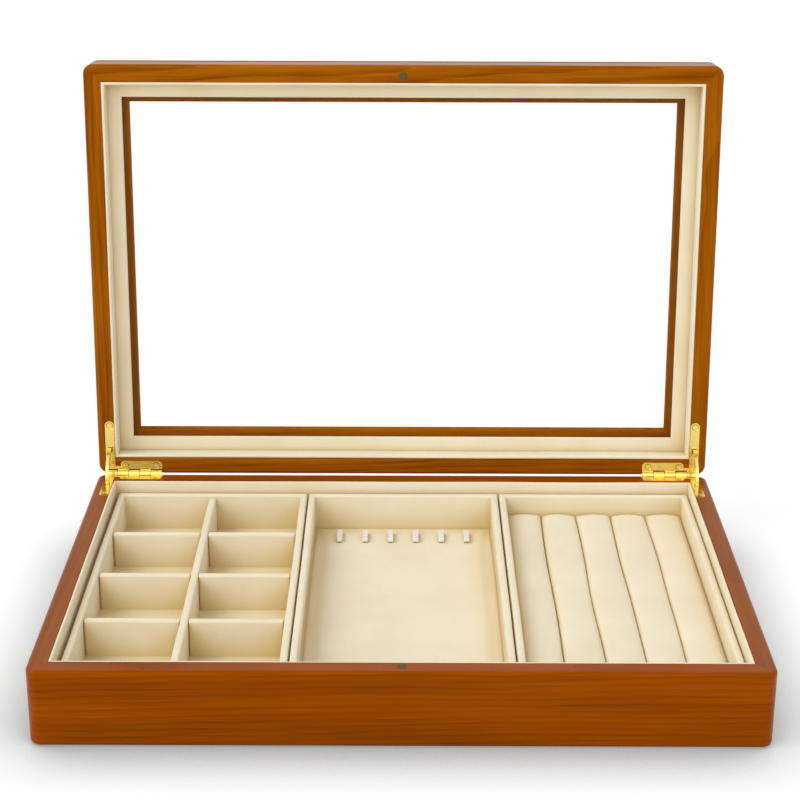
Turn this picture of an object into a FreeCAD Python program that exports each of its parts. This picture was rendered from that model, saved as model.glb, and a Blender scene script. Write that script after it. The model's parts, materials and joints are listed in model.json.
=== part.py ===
import FreeCAD, Part
import os

# A wooden jewelry box: a mitred case, a glazed lid on quadrant hinges and three lift-out trays.
# Millimetres. +X is right, +Y is back, +Z is up, and the origin is the middle of the underside.
# The lid is modelled shut, about its hinge axis, and stands open at open_angle.

SIZES = {
    # Case
    "case_length": 350,
    "case_depth": 234,
    "base_height": 40,
    "lid_height": 24,
    "wall": 9.5,
    "parting_gap": 0.3,
    "open_angle": 95,
    "corner_radius": 5.5,
    "edge_radius": 2.5,
    "rim_radius": 1.8,
    "cut_overrun": 1,
    "edge_limit_share": 0.4,
    # Base: bottom panel in its rebate, padded floor and wall lining
    "bottom_panel": 6,
    "bottom_rebate": 3.5,
    "floor_liner": 5,
    "wall_liner": 1.7,
    "liner_drop": 0.1,
    "liner_radius": 0.9,
    # Lid: top frame round the window, glass, its retainer and the lining
    "top_frame": 7.5,
    "window_border": 22,
    "window_radius": 1.2,
    "glass": 3,
    "glass_clearance": 0.5,
    "glass_edge": 0.4,
    "retainer": 2.5,
    "retainer_border": 19,
    "retainer_radius": 0.8,
    "lid_liner": 1.75,
    # Catch
    "magnet_radius": 2.5,
    "magnet_depth": 2,
    "magnet_inset": 3.6,
    # Hinges: L-shaped leaves, barrel and pin
    "leaf_length": 32.2,
    "leaf_width": 7.5,
    "leaf_heel": 4.4,
    "leaf_notch": 3.2,
    "leaf_plate": 1.5,
    "leaf_radius": 2,
    "arm_length": 31.3,
    "arm_width": 5.2,
    "arm_end_share": 0.48,
    "barrel_radius": 2.3,
    "barrel_clearance": 0.5,
    "knuckle_gap": 0.3,
    "pin_radius": 1,
    "pin_clearance": 0.05,
    # Hinges: curved links that stop the lid
    "link_radius": 14.5,
    "link_width": 2.4,
    "link_thickness": 1.8,
    "link_head": 1.8,
    "link_clearance": 0.3,
    # Hinge screws
    "screw_head": 1.65,
    "screw_head_height": 0.9,
    "screw_head_gap": 0.3,
    "screw_shank": 0.8,
    "screw_length": 9,
    "screw_clearance": 0.05,
    "screw_end_inset": 3.5,
    "screw_corner_inset": 5.8,
    "screw_edge_inset": 2.6,
    "recess_length": 1.9,
    "recess_width": 0.45,
    "recess_depth": 0.45,
    # Trays
    "tray_height": 23,
    "tray_wall": 3.8,
    "tray_floor": 2.3,
    "tray_end_gap": 2,
    "tray_side_gap": 1.25,
    "tray_gap": 0.9,
    "tray_shift": 0.65,
    # Divider grid of the compartment tray
    "divider": 4,
    "divider_gap": 0.5,
    "divider_drop": 1,
    "lap_clearance": 0.1,
    # Pad and hooks of the necklace tray
    "pad": 1.8,
    "pad_gap": 0.4,
    "pad_radius": 1.1,
    "hook_pitch": 14.3,
    "hook_back_gap": 10.2,
    "hook_length": 12.3,
    "hook_width": 3,
    "hook_height": 2.4,
    "hook_strip": 0.7,
    # Rolls of the ring tray
    "roll_height": 11.1,
    "roll_gap": 0.3,
    "roll_crown": 2.1,
    "roll_shoulder": 1.6,
}

TRAYS = ("compartment_tray", "necklace_tray", "ring_tray")
KNUCKLE_COUNT = 5
CROSS_DIVIDER_COUNT = 3
HOOK_COUNT = 6
ROLL_COUNT = 5

FORMULAS = {
    "inner_length": "case_length - 2 * wall",
    "inner_depth": "case_depth - 2 * wall",
    "floor_top": "bottom_panel + floor_liner",
    "hinge_y": "case_depth / 2",
    "hinge_z": "base_height + parting_gap / 2",
    "lid_rim": "parting_gap / 2",
    "lid_middle": "-case_depth / 2",
    "lid_seam": "lid_rim + lid_height - top_frame",
    "glass_under": "lid_seam - glass",
    "retainer_under": "glass_under - retainer",
    "leaf_outer": "inner_length / 2 + arm_width",
    "leaf_inner": "leaf_outer - leaf_length",
    "leaf_under": "lid_rim + leaf_plate",
    "knuckle_pitch": f"leaf_length / {KNUCKLE_COUNT}",
    "barrel_bore": "barrel_radius + barrel_clearance",
    "link_x": "inner_length / 2 + arm_width / 2",
    "link_tuck": "asin((leaf_under + link_head + link_clearance) / link_radius) / 1 deg",
    "link_fold": "open_angle / 2 + link_tuck",
    "tray_row": "inner_length - 2 * (wall_liner + tray_side_gap)",
    "tray_length": f"(tray_row - {len(TRAYS) - 1} * tray_gap) / {len(TRAYS)}",
    "tray_depth": "inner_depth - 2 * (wall_liner + tray_end_gap)",
    "tray_pitch": "tray_length + tray_gap",
    "tray_room_length": "tray_length - 2 * tray_wall",
    "tray_room_depth": "tray_depth - 2 * tray_wall",
    "tray_room_floor": "floor_top + tray_floor",
    "tray_room_height": "tray_height - tray_floor",
    "divider_height": "tray_room_height - divider_drop",
    "cell_pitch": f"(tray_room_depth + divider) / {CROSS_DIVIDER_COUNT + 1}",
    "pad_top": "tray_room_floor + pad",
    "roll_pitch": f"tray_room_length / {ROLL_COUNT}",
    "roll_width": "roll_pitch - roll_gap",
    "roll_bend": "(roll_width * roll_width / 4 + roll_crown * roll_crown) / (2 * roll_crown)",
}

doc = FreeCAD.newDocument("jewelry_box")
dim = doc.addObject("Spreadsheet::Sheet", "dim")
for row, (name, value) in enumerate(SIZES.items(), start=1):
    dim.set(f"A{row}", name)
    dim.set(f"B{row}", str(value))
    dim.setAlias(f"B{row}", name)
for row, (name, formula) in enumerate(FORMULAS.items(), start=1):
    dim.set(f"D{row}", name)
    dim.set(f"E{row}", f"={formula}")
    dim.setAlias(f"E{row}", name)
doc.recompute()

X_AXIS = FreeCAD.Vector(1, 0, 0)
Y_AXIS = FreeCAD.Vector(0, 1, 0)
Z_AXIS = FreeCAD.Vector(0, 0, 1)
QUARTER_TURN = 90
UPRIGHT = FreeCAD.Rotation()
ALONG_X = FreeCAD.Rotation(Y_AXIS, QUARTER_TURN)
ALONG_Y = FreeCAD.Rotation(X_AXIS, -QUARTER_TURN)

pieces = []


def bind(obj, formulas):
    """Bind properties of an object to formulas on the sheet."""
    for prop, formula in formulas.items():
        obj.setExpression(prop, formula)
    return obj


def at(x, y, z):
    return {"Placement.Base.x": x, "Placement.Base.y": y, "Placement.Base.z": z}


def sides(length, width, height):
    return {"Length": length, "Width": width, "Height": height}


def box(name, corner, size):
    return bind(doc.addObject("Part::Box", name), at(*corner) | sides(*size))


def cylinder(name, radius, length, end, along=UPRIGHT):
    made = doc.addObject("Part::Cylinder", name)
    made.Placement.Rotation = along
    return bind(made, {"Radius": radius, "Height": length} | at(*end))


def fuse(name, shapes):
    made = doc.addObject("Part::MultiFuse", name)
    made.Shapes = shapes
    return made


def cut(name, base, tools):
    made = doc.addObject("Part::Cut", name)
    made.Base = base
    made.Tool = fuse(f"{name}_tools", tools) if len(tools) > 1 else tools[0]
    return made


def common(name, base, tool):
    made = doc.addObject("Part::Common", name)
    made.Base = base
    made.Tool = tool
    return made


def group(name, shapes):
    made = doc.addObject("Part::Compound", name)
    made.Links = shapes
    return made


def above(edge, whole):
    return edge.BoundBox.ZMin > whole.Center.z


def below(edge, whole):
    return edge.BoundBox.ZMax < whole.Center.z


def standing(edge, whole):
    return edge.BoundBox.ZLength > edge.BoundBox.DiagonalLength / 2


def round_edges(body, base, radius, wanted):
    """Round the wanted edges of a body's last feature."""
    doc.recompute()
    whole = base.Shape.BoundBox
    edges = [f"Edge{i}" for i, edge in enumerate(base.Shape.Edges, start=1) if wanted(edge, whole)]
    rounding = body.newObject("PartDesign::Fillet", f"{body.Name}_rounding")
    rounding.Base = (base, edges)
    rounding.setExpression("Radius", radius)
    return rounding


def block(body, kind, corner, size):
    """Add a box to a body, or take one from it."""
    feature = body.newObject(f"PartDesign::{kind}Box", f"{body.Name}_{kind.lower()}")
    return bind(feature, at(*corner) | sides(*size))


def board(name, corner, size, radius, wanted):
    """A board with the wanted edges rounded."""
    body = doc.addObject("PartDesign::Body", name)
    round_edges(body, block(body, "Additive", corner, size), radius, wanted)
    return body


def keep(obj):
    """List a finished piece under its own name."""
    obj.Label = obj.Name
    pieces.append(obj)


def keep_on_lid(obj):
    """List a finished piece of the lid, swung open about the hinge axis."""
    axis = {"Placement.Rotation.Axis.x": "1", "Placement.Rotation.Axis.y": "0", "Placement.Rotation.Axis.z": "0"}
    bind(obj, at("0", "dim.hinge_y", "dim.hinge_z") | axis | {"Placement.Rotation.Angle": "-dim.open_angle"})
    keep(obj)


def four_boards(name, middle, rectangle, floor, height, thick, radius, wanted):
    """Boards inside a rectangle: front and back run its whole length, left and right fit between them."""
    x, y = middle
    length, depth = rectangle
    west = f"{x} - {length} / 2"
    east = f"{x} + {length} / 2 - {thick}"
    south = f"{y} - {depth} / 2"
    north = f"{y} + {depth} / 2 - {thick}"
    along = (length, thick, height)
    across = (thick, f"{depth} - 2 * {thick}", height)
    spans = {
        "front": ((west, south, floor), along),
        "back": ((west, north, floor), along),
        "left": ((west, f"{south} + {thick}", floor), across),
        "right": ((east, f"{south} + {thick}", floor), across),
    }
    limited = f"min({radius}; dim.edge_limit_share * {thick})"
    return [board(name.format(side), corner, size, limited, wanted) for side, (corner, size) in spans.items()]


# Hinge features are placed by their distances from the middle of the case, in front of the
# hinge axis, and from the axis into the base or into the lid.
HANDS = {"left": -1, "right": 1}
HALVES = {"base": -1, "lid": 1}
HINGE_ORIGIN = {"base": ("dim.hinge_y", "dim.hinge_z"), "lid": ("0", "0")}


def low_end(sign, near, far):
    """The lower end of a span between two distances on one side of zero."""
    return f"({near})" if sign > 0 else f"-({far})"


def hinge_span(hand, half, across, front, deep):
    y, z = HINGE_ORIGIN[half]
    corner = (
        low_end(HANDS[hand], *across),
        f"{y} - ({front[1]})",
        f"{z} + {low_end(HALVES[half], *deep)}",
    )
    return corner, [f"{far} - ({near})" for near, far in (across, front, deep)]


def hinge_bar(name, hand, half, radius, across):
    near, far = across
    end = (low_end(HANDS[hand], near, far), *HINGE_ORIGIN[half])
    return cylinder(name, radius, f"{far} - ({near})", end, ALONG_X)


def leaf_plate(name, hand, half):
    """The L of a hinge leaf: a plate along the back, an arm along the side and a heel that joins them."""
    def front_corner(edge, whole):
        return standing(edge, whole) and edge.BoundBox.YMax < whole.Center.y

    deep = ("dim.lid_rim", "dim.leaf_under")
    plate_end = "dim.inner_length / 2 - dim.leaf_notch"
    plate = hinge_span(hand, half, ("dim.leaf_inner", plate_end), ("0", "dim.leaf_width"), deep)
    heel = hinge_span(hand, half, ("dim.leaf_inner", "dim.leaf_outer"), ("0", "dim.leaf_heel"), deep)
    arm = hinge_span(hand, half, ("dim.inner_length / 2", "dim.leaf_outer"), ("0", "dim.arm_length"), deep)
    return fuse(name, [
        board(f"{name}_back", *plate, "dim.leaf_radius", front_corner),
        box(f"{name}_heel", *heel),
        board(f"{name}_arm", *arm, "dim.arm_end_share * dim.arm_width", front_corner),
    ])


def screw_places():
    """Where a leaf is screwed down: distance from the middle, and in front of the hinge axis."""
    back = "dim.leaf_width - dim.screw_edge_inset"
    return [
        ("dim.leaf_inner + dim.screw_end_inset", back),
        ("dim.inner_length / 2 - dim.screw_corner_inset", back),
        ("dim.link_x", "dim.arm_length - dim.arm_width / 2"),
    ]


def screw_body(name, hand, half, place, head_room="0", extra="0"):
    """A countersunk screw standing in a leaf, or the hole for it where there is room round it."""
    across, front = place
    y, z = HINGE_ORIGIN[half]
    x = low_end(HANDS[hand], across, across)
    into = HALVES[half]
    head_radius = f"dim.screw_head + {head_room}"
    shank_radius = f"dim.screw_shank + {extra}"
    ends = (shank_radius, head_radius) if into < 0 else (head_radius, shank_radius)
    head = doc.addObject("Part::Cone", f"{name}_head")
    head_low = low_end(into, "dim.lid_rim", "dim.lid_rim + dim.screw_head_height")
    bind(head, at(x, f"{y} - ({front})", f"{z} + {head_low}"))
    bind(head, {"Radius1": ends[0], "Radius2": ends[1], "Height": "dim.screw_head_height"})
    shank_low = low_end(into, "dim.lid_rim", f"dim.lid_rim + dim.screw_length + {extra}")
    end = (x, f"{y} - ({front})", f"{z} + {shank_low}")
    shank = cylinder(f"{name}_shank", shank_radius, f"dim.screw_length + {extra}", end)
    return fuse(name, [head, shank])


def screw(name, hand, half, place):
    """A screw with a cross recess in its head."""
    across, front = place
    y, z = HINGE_ORIGIN[half]
    x = low_end(HANDS[hand], across, across)
    low = low_end(HALVES[half], "dim.lid_rim", "dim.lid_rim + dim.recess_depth")
    bars = []
    for size in (("dim.recess_length", "dim.recess_width"), ("dim.recess_width", "dim.recess_length")):
        corner = (f"{x} - {size[0]} / 2", f"{y} - ({front}) - {size[1]} / 2", f"{z} + {low}")
        bars.append(box(f"{name}_recess", corner, (*size, "dim.recess_depth")))
    return cut(name, screw_body(f"{name}_blank", hand, half, place), bars)


def screw_holes(name, hand, half):
    return [screw_body(f"{name}_hole", hand, half, place, "dim.screw_head_gap", "dim.screw_clearance")
            for place in screw_places()]


def hinge_cuts(half):
    """What the two hinges take from one half of the case."""
    tools = []
    for hand in HANDS:
        name = f"{half}_{hand}_hinge"
        tools.append(leaf_plate(f"{name}_seat", hand, half))
        tools.append(hinge_bar(f"{name}_notch", hand, half, "dim.barrel_bore", (
            "dim.leaf_inner - dim.barrel_clearance", "dim.leaf_outer + dim.barrel_clearance")))
        room = "dim.link_thickness / 2 + dim.link_clearance"
        tools.append(box(f"{name}_mortise", *hinge_span(
            hand, half, (f"dim.link_x - ({room})", f"dim.link_x + {room}"),
            ("dim.link_radius * cos(dim.link_fold) - dim.link_head - dim.link_clearance",
             "dim.link_radius + dim.link_head + dim.link_clearance"),
            ("0", "dim.link_radius * sin(dim.link_fold) + dim.link_head + dim.link_clearance"))))
        tools += screw_holes(name, hand, half)
    return tools


def magnet(name, half):
    """A round magnet let into the middle of the front rim."""
    y, z = HINGE_ORIGIN[half]
    low = low_end(HALVES[half], "dim.lid_rim", "dim.lid_rim + dim.magnet_depth")
    end = ("0", f"{y} - dim.case_depth + dim.wall - dim.magnet_inset", f"{z} + {low}")
    return cylinder(name, "dim.magnet_radius", "dim.magnet_depth", end)


def mitred_boards(name, shell, middle, floor, ceiling, deep):
    """Part a shell at its mitres into four boards between two heights."""
    boards = []
    for turn, side in enumerate(("front", "right", "back", "left")):
        run, reach = ("dim.case_length", "dim.case_depth")[::-1 if turn % 2 else 1]
        prism = doc.addObject("Part::Wedge", f"{name.format(side)}_prism")
        prism.Placement.Rotation = FreeCAD.Rotation(Z_AXIS, turn * QUARTER_TURN)
        bind(prism, at("0", middle, "0"))
        bind(prism, {
            "Xmin": f"-{run} / 2 - dim.cut_overrun",
            "Xmax": f"{run} / 2 + dim.cut_overrun",
            "X2min": f"-{run} / 2 + {deep}",
            "X2max": f"{run} / 2 - {deep}",
            "Ymin": f"-{reach} / 2 - dim.cut_overrun",
            "Ymax": f"-{reach} / 2 + {deep}",
            "Zmin": floor, "Z2min": floor, "Zmax": ceiling, "Z2max": ceiling,
        })
        boards.append(common(name.format(side), shell, prism))
    return boards


def base_case():
    """The walls of the base, its bottom panel, floor and lining."""
    shell = doc.addObject("PartDesign::Body", "base_shell")
    solid = block(shell, "Additive", ("-dim.case_length / 2", "-dim.case_depth / 2", "0"),
                  ("dim.case_length", "dim.case_depth", "dim.base_height"))
    solid = round_edges(shell, solid, "dim.corner_radius", standing)
    solid = round_edges(shell, solid, "dim.edge_radius", below)
    round_edges(shell, solid, "dim.rim_radius", above)
    inside = ("-dim.inner_length / 2", "-dim.inner_depth / 2")
    block(shell, "Subtractive", (*inside, "-dim.cut_overrun"),
          ("dim.inner_length", "dim.inner_depth", "dim.base_height + 2 * dim.cut_overrun"))
    panel_corner = ("-dim.inner_length / 2 - dim.bottom_rebate", "-dim.inner_depth / 2 - dim.bottom_rebate", "0")
    panel_size = ("dim.inner_length + 2 * dim.bottom_rebate", "dim.inner_depth + 2 * dim.bottom_rebate",
                  "dim.bottom_panel")
    block(shell, "Subtractive", panel_corner, panel_size)
    walls = cut("base_walls", shell, hinge_cuts("base") + [magnet("base_magnet_pocket", "base")])
    for wall in mitred_boards("base_{}_wall", walls, "0", "-dim.cut_overrun",
                              "dim.base_height + dim.cut_overrun", "dim.wall"):
        keep(wall)
    keep(box("base_bottom_panel", panel_corner, panel_size))
    keep(board("base_floor_liner", (*inside, "dim.bottom_panel"),
               ("dim.inner_length", "dim.inner_depth", "dim.floor_liner"), "dim.liner_radius", above))
    for liner in four_boards("base_{}_liner", ("0", "0"), ("dim.inner_length", "dim.inner_depth"), "dim.floor_top",
                             "dim.base_height - dim.liner_drop - dim.floor_top", "dim.wall_liner",
                             "dim.liner_radius", above):
        keep(liner)
    keep(magnet("base_catch_magnet", "base"))


def lid_case():
    """The walls and top rails of the lid, its glass, retainer and lining."""
    shell = doc.addObject("PartDesign::Body", "lid_shell")
    solid = block(shell, "Additive", ("-dim.case_length / 2", "-dim.case_depth", "dim.lid_rim"),
                  ("dim.case_length", "dim.case_depth", "dim.lid_height"))
    solid = round_edges(shell, solid, "dim.corner_radius", standing)
    solid = round_edges(shell, solid, "dim.edge_radius", above)
    round_edges(shell, solid, "dim.rim_radius", below)
    inside = ("-dim.inner_length / 2", "dim.lid_middle - dim.inner_depth / 2")
    block(shell, "Subtractive", (*inside, "dim.lid_rim - dim.cut_overrun"),
          ("dim.inner_length", "dim.inner_depth", "dim.lid_height - dim.top_frame + dim.cut_overrun"))
    window = block(shell, "Subtractive",
                   ("-dim.case_length / 2 + dim.window_border", "-dim.case_depth + dim.window_border", "dim.lid_rim"),
                   ("dim.case_length - 2 * dim.window_border", "dim.case_depth - 2 * dim.window_border",
                    "dim.lid_height + dim.cut_overrun"))

    def window_edge(edge, whole):
        return edge.BoundBox.ZMin > dim.lid_seam and edge.BoundBox.XLength < dim.inner_length \
            and edge.BoundBox.YMax < -dim.wall and edge.BoundBox.YMin > dim.wall - dim.case_depth

    round_edges(shell, window, "min(dim.window_radius; dim.edge_limit_share * dim.top_frame)", window_edge)
    walls = cut("lid_walls", shell, hinge_cuts("lid") + [magnet("lid_magnet_pocket", "lid")])
    boards = mitred_boards("lid_{}_wall", walls, "dim.lid_middle", "0", "dim.lid_seam", "dim.wall")
    boards += mitred_boards("lid_top_{}_rail", walls, "dim.lid_middle", "dim.lid_seam",
                            "dim.lid_rim + dim.lid_height + dim.cut_overrun", "dim.window_border")
    for wall in boards:
        keep_on_lid(wall)
    pane = (f"{inside[0]} + dim.glass_clearance", f"{inside[1]} + dim.glass_clearance", "dim.glass_under")
    pane_size = ("dim.inner_length - 2 * dim.glass_clearance", "dim.inner_depth - 2 * dim.glass_clearance",
                 "dim.glass")
    keep_on_lid(board("lid_glass", pane, pane_size, "dim.glass_edge", above))
    retainer = doc.addObject("PartDesign::Body", "lid_glass_retainer")
    block(retainer, "Additive", (*inside, "dim.retainer_under"),
          ("dim.inner_length", "dim.inner_depth", "dim.retainer"))
    opening = block(retainer, "Subtractive",
                    ("-dim.case_length / 2 + dim.retainer_border", "-dim.case_depth + dim.retainer_border",
                     "dim.retainer_under - dim.cut_overrun"),
                    ("dim.case_length - 2 * dim.retainer_border", "dim.case_depth - 2 * dim.retainer_border",
                     "dim.retainer + 2 * dim.cut_overrun"))

    def opening_edge(edge, whole):
        return below(edge, whole) and edge.BoundBox.XLength < dim.inner_length \
            and edge.BoundBox.YLength < dim.inner_depth

    round_edges(retainer, opening, "min(dim.retainer_radius; dim.edge_limit_share * dim.retainer)", opening_edge)
    keep_on_lid(retainer)
    for liner in four_boards("lid_{}_liner", ("0", "dim.lid_middle"), ("dim.inner_length", "dim.inner_depth"),
                             "dim.lid_rim", "dim.retainer_under - dim.lid_rim", "dim.lid_liner",
                             "dim.liner_radius", below):
        keep_on_lid(liner)
    keep_on_lid(group("lid_catch_magnet", [magnet("lid_magnet", "lid")]))


def knuckle(number):
    """The span of one knuckle along the hinge axis."""
    near = f"dim.leaf_inner + {number} * dim.knuckle_pitch + dim.knuckle_gap / 2"
    return near, f"dim.leaf_inner + {number + 1} * dim.knuckle_pitch - dim.knuckle_gap / 2"


def hinge_leaf(name, hand, half, own):
    """A leaf with its own knuckles, cleared round those of the other leaf."""
    slot_x = "dim.link_thickness / 2 + dim.link_clearance"
    slot_y = "dim.link_width / 2 + dim.link_clearance"
    tools = [box(f"{name}_slot", *hinge_span(
        hand, half, (f"dim.link_x - ({slot_x})", f"dim.link_x + {slot_x}"),
        (f"dim.link_radius - ({slot_y})", f"dim.link_radius + {slot_y}"), ("0", "dim.leaf_under + dim.cut_overrun")))]
    tools += screw_holes(name, hand, half)
    knuckles = []
    for number in range(KNUCKLE_COUNT):
        near, far = knuckle(number)
        if number in own:
            knuckles.append(hinge_bar(f"{name}_knuckle", hand, half, "dim.barrel_radius", (near, far)))
        else:
            room = (f"{near} - dim.knuckle_gap", f"{far} + dim.knuckle_gap")
            tools.append(hinge_bar(f"{name}_room", hand, half, "dim.barrel_bore", room))
    plate = cut(f"{name}_plate_cut", leaf_plate(f"{name}_plate", hand, half), tools)
    bore = hinge_bar(f"{name}_bore", hand, half, "dim.pin_radius + dim.pin_clearance",
                     ("dim.leaf_inner - dim.cut_overrun", "dim.leaf_outer + dim.cut_overrun"))
    return cut(name, fuse(f"{name}_blank", [plate] + knuckles), [bore])


def hinges():
    """Leaves, pins and screws; the right hinge is the left one turned over."""
    even = range(0, KNUCKLE_COUNT, 2)
    odd = range(1, KNUCKLE_COUNT, 2)
    keep(hinge_leaf("hinge_leaf_base_left", "left", "base", even))
    keep(hinge_leaf("hinge_leaf_base_right", "right", "base", odd))
    keep_on_lid(hinge_leaf("hinge_leaf_lid_left", "left", "lid", odd))
    keep_on_lid(hinge_leaf("hinge_leaf_lid_right", "right", "lid", even))
    barrel = ("dim.leaf_inner", "dim.leaf_outer")
    keep(group("hinge_pins", [hinge_bar(f"hinge_pin_{hand}", hand, "base", "dim.pin_radius", barrel)
                              for hand in HANDS]))
    screws = {half: [screw(f"{half}_{hand}_screw_{number}", hand, half, place)
                     for hand in HANDS for number, place in enumerate(screw_places(), start=1)]
              for half in HALVES}
    keep(group("hinge_screws_base", screws["base"]))
    keep_on_lid(group("hinge_screws_lid", screws["lid"]))


def hinge_link(hand):
    """The curved link of one hinge: an arc about the hinge axis with a head on each end."""
    name = f"hinge_link_{hand}"
    low = "-dim.link_thickness / 2"
    rims = {}
    for rim, sign in (("outer", "+"), ("inner", "-")):
        rims[rim] = cylinder(f"{name}_{rim}", f"dim.link_radius {sign} dim.link_width / 2", "dim.link_thickness",
                             ("0", "0", low))
        bind(rims[rim], {"Placement.Rotation.Angle": "-dim.link_tuck"})
    bind(rims["outer"], {"Angle": "dim.open_angle + 2 * dim.link_tuck"})
    heads = []
    for end, angle in (("base", "-dim.link_tuck"), ("lid", "dim.open_angle + dim.link_tuck")):
        centre = (f"dim.link_radius * cos({angle})", f"dim.link_radius * sin({angle})", low)
        heads.append(cylinder(f"{name}_{end}_head", "dim.link_head", "dim.link_thickness", centre))
    arc = cut(f"{name}_arc", rims["outer"], [rims["inner"]])
    link = fuse(name, [arc] + heads)
    # The arc starts at the base rim, in front of the axis, and rises towards the open lid.
    link.Placement.Rotation = FreeCAD.Rotation(-Y_AXIS, Z_AXIS, -X_AXIS)
    bind(link, at(low_end(HANDS[hand], "dim.link_x", "dim.link_x"), "dim.hinge_y", "dim.hinge_z"))
    keep(link)


def tray_middle(number):
    return f"{number - (len(TRAYS) - 1) / 2} * dim.tray_pitch + dim.tray_shift"


def tray(name, middle):
    """A tray: a floor board with four walls standing on it."""
    keep(board(f"{name}_floor", (f"{middle} - dim.tray_length / 2", "-dim.tray_depth / 2", "dim.floor_top"),
               ("dim.tray_length", "dim.tray_depth", "dim.tray_floor"),
               "min(dim.liner_radius; dim.edge_limit_share * dim.tray_floor)", below))
    for wall in four_boards(f"{name}_{{}}_wall", (middle, "0"), ("dim.tray_length", "dim.tray_depth"),
                            "dim.tray_room_floor", "dim.tray_room_height", "dim.tray_wall",
                            "dim.liner_radius", above):
        keep(wall)


def divider_grid(middle):
    """One long divider and the cross dividers, lapped half and half where they cross."""
    radius = "min(dim.liner_radius; dim.edge_limit_share * dim.divider)"
    lap = "dim.divider + 2 * dim.lap_clearance"
    half = "dim.divider_height / 2"
    run = "dim.tray_room_depth - 2 * dim.divider_gap"
    width = "dim.tray_room_length - 2 * dim.divider_gap"
    long_board = board("long_divider_board", (f"{middle} - dim.divider / 2", f"-({run}) / 2", "dim.tray_room_floor"),
                       ("dim.divider", run, "dim.divider_height"), radius, above)
    laps = []
    crosses = []
    for number in range(CROSS_DIVIDER_COUNT):
        y = f"{number - (CROSS_DIVIDER_COUNT - 1) / 2} * dim.cell_pitch"
        laps.append(box("long_divider_lap", (f"{middle} - ({lap}) / 2", f"{y} - ({lap}) / 2", "dim.tray_room_floor"),
                        (lap, lap, f"{half} + dim.lap_clearance")))
        cross = board("cross_divider_board", (f"{middle} - ({width}) / 2", f"{y} - dim.divider / 2",
                                              "dim.tray_room_floor"),
                      (width, "dim.divider", "dim.divider_height"), radius, above)
        notch = box("cross_divider_lap", (f"{middle} - ({lap}) / 2", f"{y} - ({lap}) / 2",
                                          f"dim.tray_room_floor + {half}"), (lap, lap, "dim.divider_height"))
        crosses.append(cut("cross_divider", cross, [notch]))
    keep(cut("divider_grid_long", long_board, laps))
    keep(group("divider_grid_cross", crosses))


def necklace_fittings(middle):
    """A thin pad and a row of folded strip hooks lying on it, open towards the back."""
    width = "dim.tray_room_length - 2 * dim.pad_gap"
    run = "dim.tray_room_depth - 2 * dim.pad_gap"
    keep(board("necklace_pad", (f"{middle} - ({width}) / 2", f"-({run}) / 2", "dim.tray_room_floor"),
               (width, run, "dim.pad"), "min(dim.pad_radius; 2 * dim.edge_limit_share * dim.pad)", above))
    back = "dim.tray_room_depth / 2 - dim.hook_back_gap"
    bend = "dim.hook_height / 2"
    fold = f"{back} - dim.hook_length + {bend}"
    hooks = []
    for number in range(HOOK_COUNT):
        x = f"{middle} + {number - (HOOK_COUNT - 1) / 2} * dim.hook_pitch - dim.hook_width / 2"
        fold_end = (x, fold, f"dim.pad_top + {bend}")
        outside = fuse("hook_outside", [
            box("hook_legs", (x, fold, "dim.pad_top"),
                ("dim.hook_width", f"dim.hook_length - {bend}", "dim.hook_height")),
            cylinder("hook_fold", bend, "dim.hook_width", fold_end, ALONG_X),
        ])
        inside = [
            box("hook_room", (x, fold, "dim.pad_top + dim.hook_strip"),
                ("dim.hook_width", "dim.hook_length", "dim.hook_height - 2 * dim.hook_strip")),
            cylinder("hook_inner_fold", f"{bend} - dim.hook_strip", "dim.hook_width", fold_end, ALONG_X),
        ]
        hooks.append(cut("hook", outside, inside))
    keep(group("necklace_hooks", hooks))


def ring_rolls(middle):
    """Foam rolls side by side, each crowned on top with round shoulders."""
    def shoulder(edge, whole):
        return edge.BoundBox.YLength > whole.YLength / 2 and edge.BoundBox.ZMin > whole.Center.z

    run = "dim.tray_room_depth - 2 * dim.roll_gap"
    for number in range(ROLL_COUNT):
        x = f"{middle} + {number - (ROLL_COUNT - 1) / 2} * dim.roll_pitch"
        slab = box(f"roll_slab_{number + 1}", (f"{x} - dim.roll_width / 2", f"-({run}) / 2", "dim.tray_room_floor"),
                   ("dim.roll_width", run, "dim.roll_height"))
        crown = cylinder(f"roll_crown_{number + 1}", "dim.roll_bend", run,
                         (x, f"-({run}) / 2", "dim.tray_room_floor + dim.roll_height - dim.roll_bend"), ALONG_Y)
        roll = doc.addObject("PartDesign::Body", f"ring_roll_{number + 1}")
        roll.BaseFeature = common(f"roll_blank_{number + 1}", slab, crown)
        round_edges(roll, roll.Group[0], "min(dim.roll_shoulder; dim.edge_limit_share * dim.roll_height)", shoulder)
        keep(roll)


base_case()
lid_case()
hinges()
for hand in HANDS:
    hinge_link(hand)
for number, name in enumerate(TRAYS):
    tray(name, tray_middle(number))
divider_grid(tray_middle(TRAYS.index("compartment_tray")))
necklace_fittings(tray_middle(TRAYS.index("necklace_tray")))
ring_rolls(tray_middle(TRAYS.index("ring_tray")))
doc.recompute()

for obj in doc.Objects:
    if "Invalid" in obj.State or "Error" in obj.State:
        raise RuntimeError(f"{obj.Name} failed: {obj.State}")
for piece in pieces:
    if piece.Shape.isNull() or not piece.Shape.isValid():
        raise RuntimeError(f"{piece.Label} has no valid shape")

os.makedirs("parts", exist_ok=True)
for piece in pieces:
    piece.Shape.exportStep(f"parts/{piece.Label}.step")
print(f"{len(pieces)} pieces")
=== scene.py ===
import json
import math

import bmesh
import bpy
from mathutils import Matrix, Vector, noise


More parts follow.
